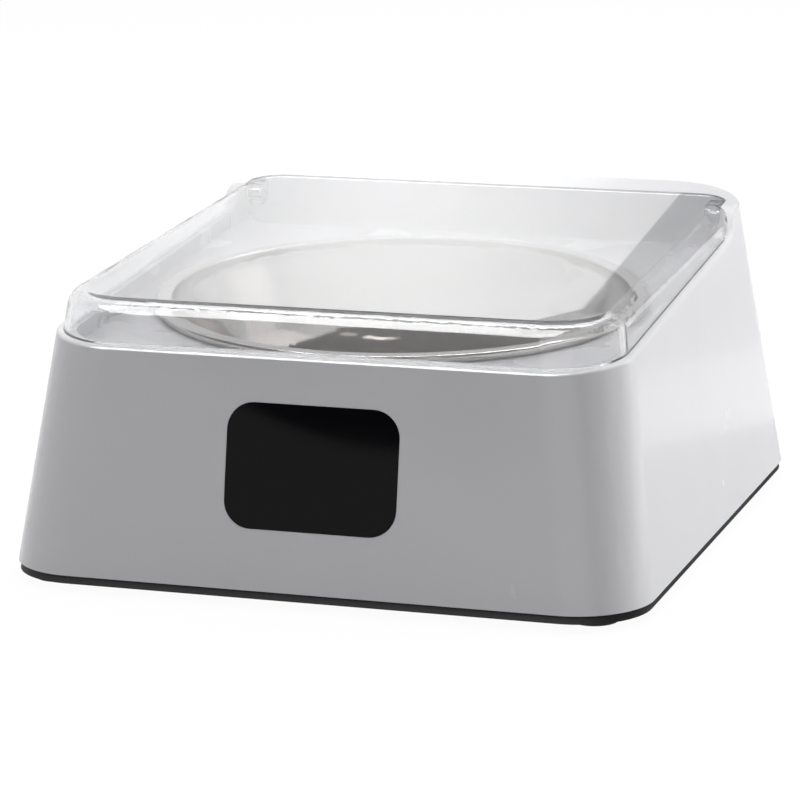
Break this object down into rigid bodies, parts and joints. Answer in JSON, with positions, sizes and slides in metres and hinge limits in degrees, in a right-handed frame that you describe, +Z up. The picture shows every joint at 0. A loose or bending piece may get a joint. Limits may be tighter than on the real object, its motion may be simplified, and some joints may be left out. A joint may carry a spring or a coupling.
{
  "type": "automatic pet feeder with motorised lid",
  "caption": "Low automatic pet feeder: tapered white housing, sunk deck with an oval steel bowl, and a clear lid that a motor lifts when the front sensor sees the pet.",
  "frame": {"origin": "on the ground under the middle of the housing, at the level of the undersides of the rubber feet", "axes": "+X to the right as the pet faces the rear block from the front, +Y from the sensor window to the rear block, +Z up"},
  "size_m": [0.23, 0.256, 0.1104],
  "materials": {
    "white_plastic": "satin moulded white",
    "deck_plastic": "satin moulded white",
    "black_plastic": "fine-grained black",
    "foot_rubber": "matt black",
    "screw_steel": "zinc-plated",
    "window_black": "polished, dark infrared-passing",
    "board_green": "solder mask",
    "led_clear": "clear lens",
    "led_dark": "dark infrared lens",
    "led_green": "tinted lens",
    "component_black": "moulded black",
    "inlet_black": "moulded black",
    "cell_sleeve": "printless sleeve",
    "contact_nickel": "nickel-plated strip",
    "gearbox_plastic": "moulded natural",
    "shaft_steel": "ground",
    "motor_steel": "drawn can",
    "bush_plastic": "moulded natural",
    "bowl_steel": "polished stainless steel",
    "lid_clear": "clear, polished",
    "crank_plastic": "moulded natural",
    "gear_plastic": "moulded natural",
    "pinion_brass": "machined",
    "lead_cover": "soft sleeve"
  },
  "bodies": {
    "housing": {"base_plate": "black_plastic", "base_screws": "screw_steel", "battery_cells": "cell_sleeve", "battery_contacts": "contact_nickel", "battery_lead": "lead_cover", "board_components": "component_black", "board_screws": "screw_steel", "bowl_deck": "deck_plastic", "dc_inlet": "inlet_black", "deck_screws": "screw_steel", "gear_axles": "shaft_steel", "gearbox_cover": "gearbox_plastic", "gearbox_frame": "gearbox_plastic", "gearbox_mount_screws": "screw_steel", "gearbox_screws": "screw_steel", "hinge_bushes": "bush_plastic", "housing_shell": "white_plastic", "infrared_emitters": "led_clear", "infrared_receiver": "led_dark", "main_board": "board_green", "motor_can": "motor_steel", "motor_end_cap": "component_black", "motor_lead": "lead_cover", "motor_screws": "screw_steel", "position_sensor": "component_black", "power_lead": "lead_cover", "rubber_feet": "foot_rubber", "sensor_board": "board_green", "sensor_lead": "lead_cover", "sensor_screws": "screw_steel", "sensor_window": "window_black", "status_light": "led_green", "switch_body": "component_black", "switch_lead": "lead_cover"},
    "lid": {"lid": "lid_clear", "lid_drive_shaft": "shaft_steel", "lid_pivot_pin": "shaft_steel", "lid_crank": "crank_plastic"},
    "link": {"lid_link": "crank_plastic"},
    "output": {"output_gear": "gear_plastic", "output_shaft": "shaft_steel", "output_crank": "crank_plastic"},
    "second_gear": {"second_reduction_gear": "gear_plastic"},
    "first_gear": {"first_reduction_gear": "gear_plastic"},
    "rotor": {"motor_pinion": "pinion_brass", "motor_shaft": "shaft_steel"},
    "switch": {"switch_knob": "inlet_black"},
    "door": {"battery_door": "black_plastic", "door_contacts": "contact_nickel"},
    "bowl": {"bowl": "bowl_steel"}
  },
  "joints": [
    {"name": "lid_hinge", "type": "hinge", "parent": "housing", "child": "lid", "pos_m": [0, 0.08, 0.102], "axis": [-1, 0, 0], "range_deg": [0, 85]},
    {"name": "link_pin", "type": "hinge", "parent": "lid", "child": "link", "pos_m": [0.0984, 0.0838, 0.09384], "axis": [-1, 0, 0], "range_deg": [-86, 1]},
    {"name": "output_turn", "type": "hinge", "parent": "housing", "child": "output", "pos_m": [0.07, 0.084, 0.061], "axis": [-1, 0, 0], "range_deg": [-1, 86]},
    {"name": "second_gear_turn", "type": "hinge", "parent": "housing", "child": "second_gear", "pos_m": [0.07, 0.0685, 0.04253], "axis": [-1, 0, 0], "range_deg": [-345, 5]},
    {"name": "first_gear_turn", "type": "hinge", "parent": "housing", "child": "first_gear", "pos_m": [0.07, 0.07694, 0.02791], "axis": [-1, 0, 0], "range_deg": [-20, 1267]},
    {"name": "motor_turn", "type": "hinge", "parent": "housing", "child": "rotor", "pos_m": [0.07, 0.06396, 0.02318], "axis": [-1, 0, 0], "range_deg": [-5047, 60]},
    {"name": "power_switch", "type": "slide", "parent": "housing", "child": "switch", "axis": [-1, 0, 0], "range_m": [0, 0.004]},
    {"name": "battery_flap", "type": "hinge", "parent": "housing", "child": "door", "pos_m": [0, 0.0796, 0.003], "axis": [-1, 0, 0], "range_deg": [0, 90]},
    {"name": "bowl_lift", "type": "slide", "parent": "housing", "child": "bowl", "axis": [0, 0, 1], "range_m": [0, 0.008]}
  ],
  "couplings": [
    {"joint": "link_pin", "follows": "lid_hinge", "ratio": -1},
    {"joint": "output_turn", "follows": "lid_hinge", "ratio": 1},
    {"joint": "second_gear_turn", "follows": "lid_hinge", "ratio": -4},
    {"joint": "first_gear_turn", "follows": "lid_hinge", "ratio": 14.667},
    {"joint": "motor_turn", "follows": "lid_hinge", "ratio": -58.667}
  ]
}
